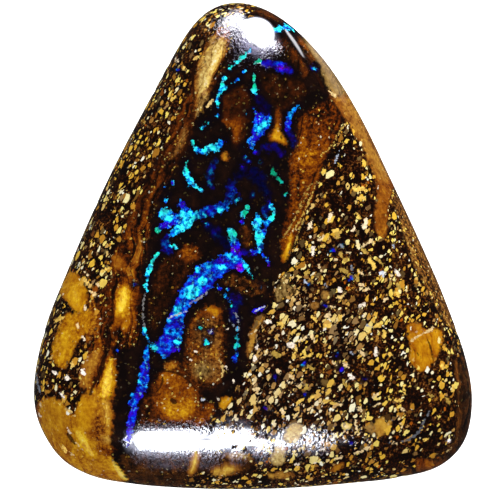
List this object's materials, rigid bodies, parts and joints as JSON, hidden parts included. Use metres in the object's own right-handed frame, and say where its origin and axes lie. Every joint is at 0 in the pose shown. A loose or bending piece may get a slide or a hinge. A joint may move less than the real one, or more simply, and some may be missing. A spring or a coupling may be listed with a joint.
{
  "type": "boulder opal cabochon",
  "caption": "Freeform opal cabochon: a rounded triangle of polished brown ironstone with blue opal seams, a domed face and a flat ground back.",
  "frame": {"origin": "on the flat back face, under the middle of the stone's bounding box", "axes": "+Z out of the polished face, away from the surface it lies on; +Y towards the narrow end"},
  "size_m": [0.0292, 0.0324, 0.006],
  "materials": {
    "polished_boulder_opal": "polished"
  },
  "bodies": {
    "root": {"boulder_opal": "polished_boulder_opal"}
  },
  "joints": []
}
